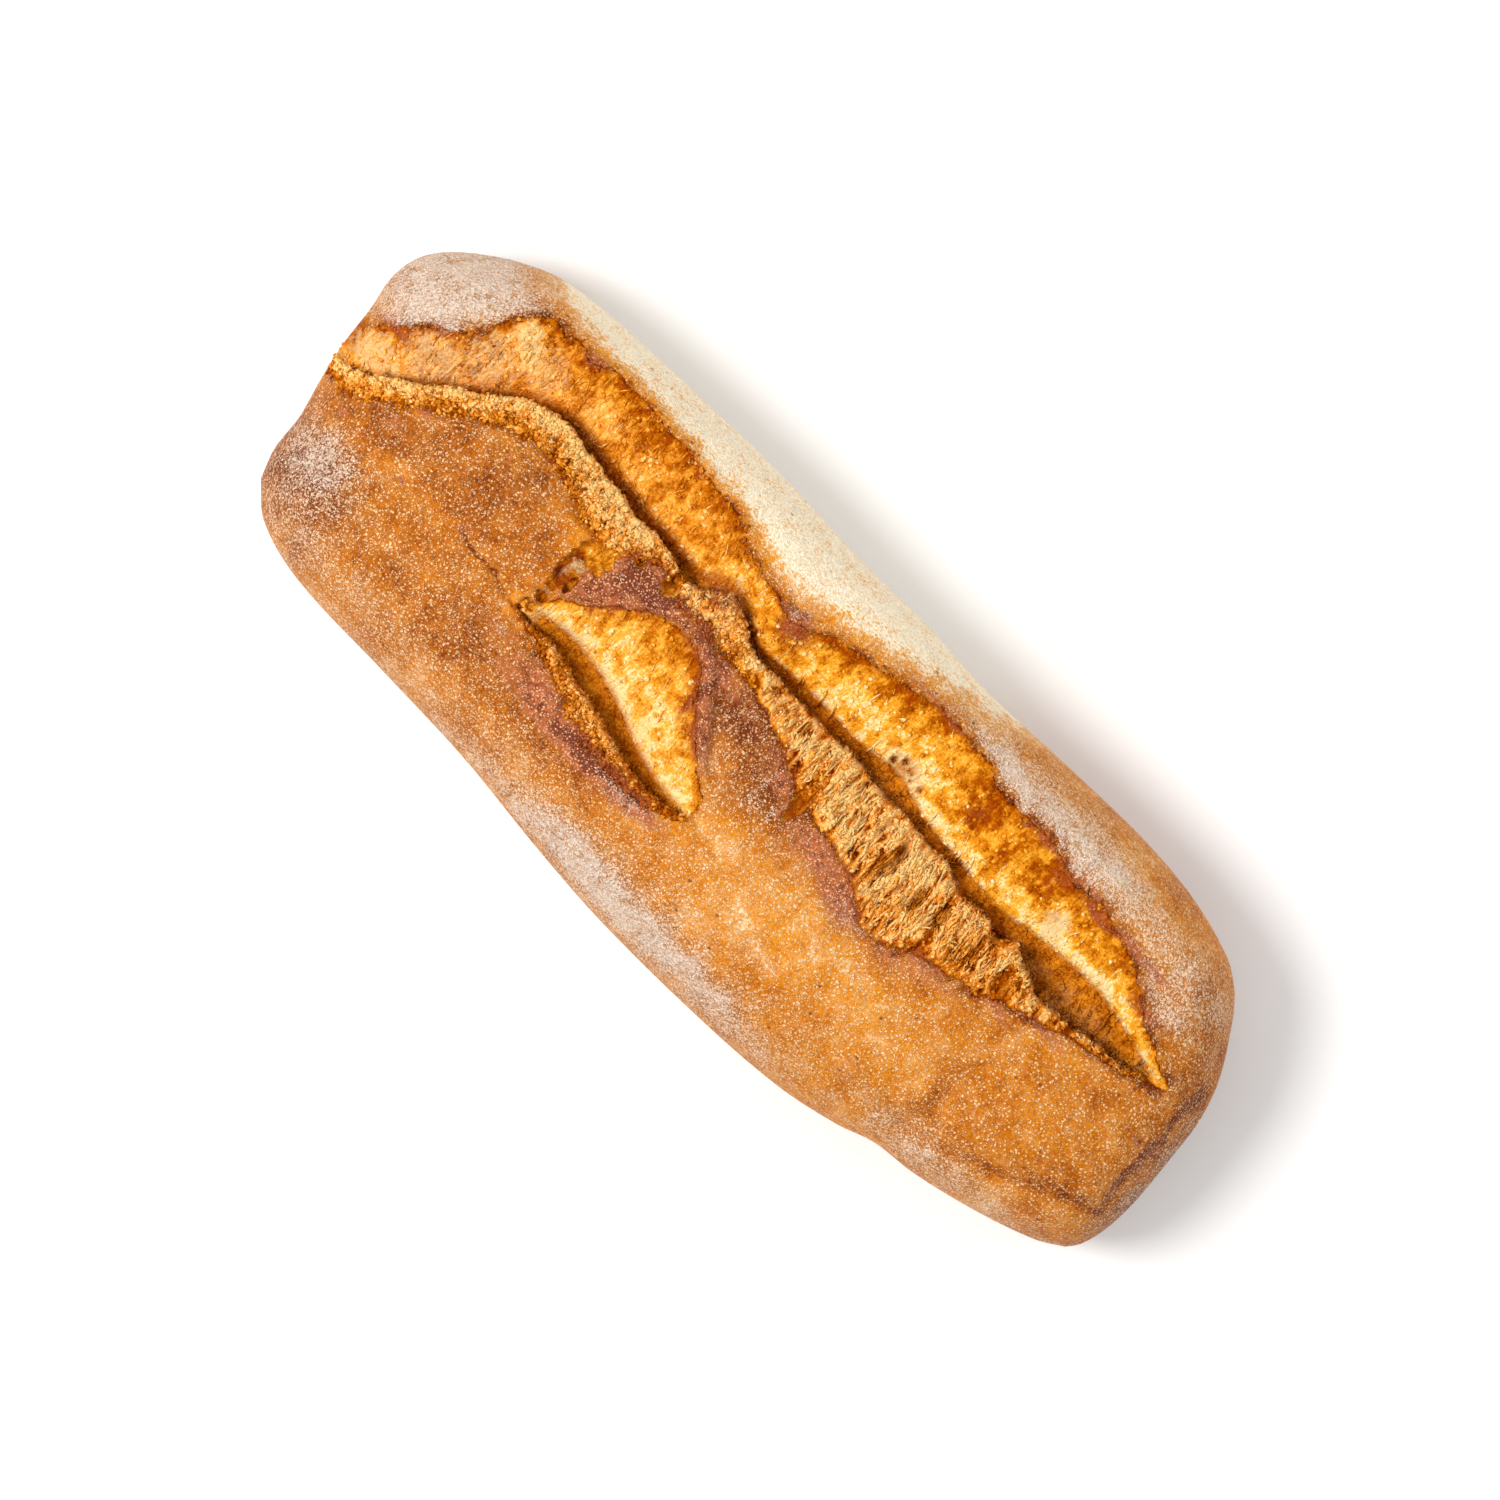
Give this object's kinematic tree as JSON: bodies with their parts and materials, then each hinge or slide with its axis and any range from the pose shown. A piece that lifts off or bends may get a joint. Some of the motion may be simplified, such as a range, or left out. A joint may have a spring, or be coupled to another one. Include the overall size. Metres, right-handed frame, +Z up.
{
  "type": "ciabatta loaf",
  "caption": "Whole slipper-shaped white loaf with a floured golden crust, torn open along its crown by a long ragged split beside a short scorched slash.",
  "frame": {"origin": "below the middle of the loaf's plan, on the face it rests on", "axes": "+X along the loaf, +Y towards the pale flank beside the long tear, +Z up out of the crown"},
  "size_m": [0.2992, 0.1126, 0.0604],
  "materials": {
    "crust": "dry baked wheat crust, golden brown, dusted with flour and semolina, scorched at the torn edges"
  },
  "bodies": {
    "root": {"loaf": "crust"}
  },
  "joints": []
}
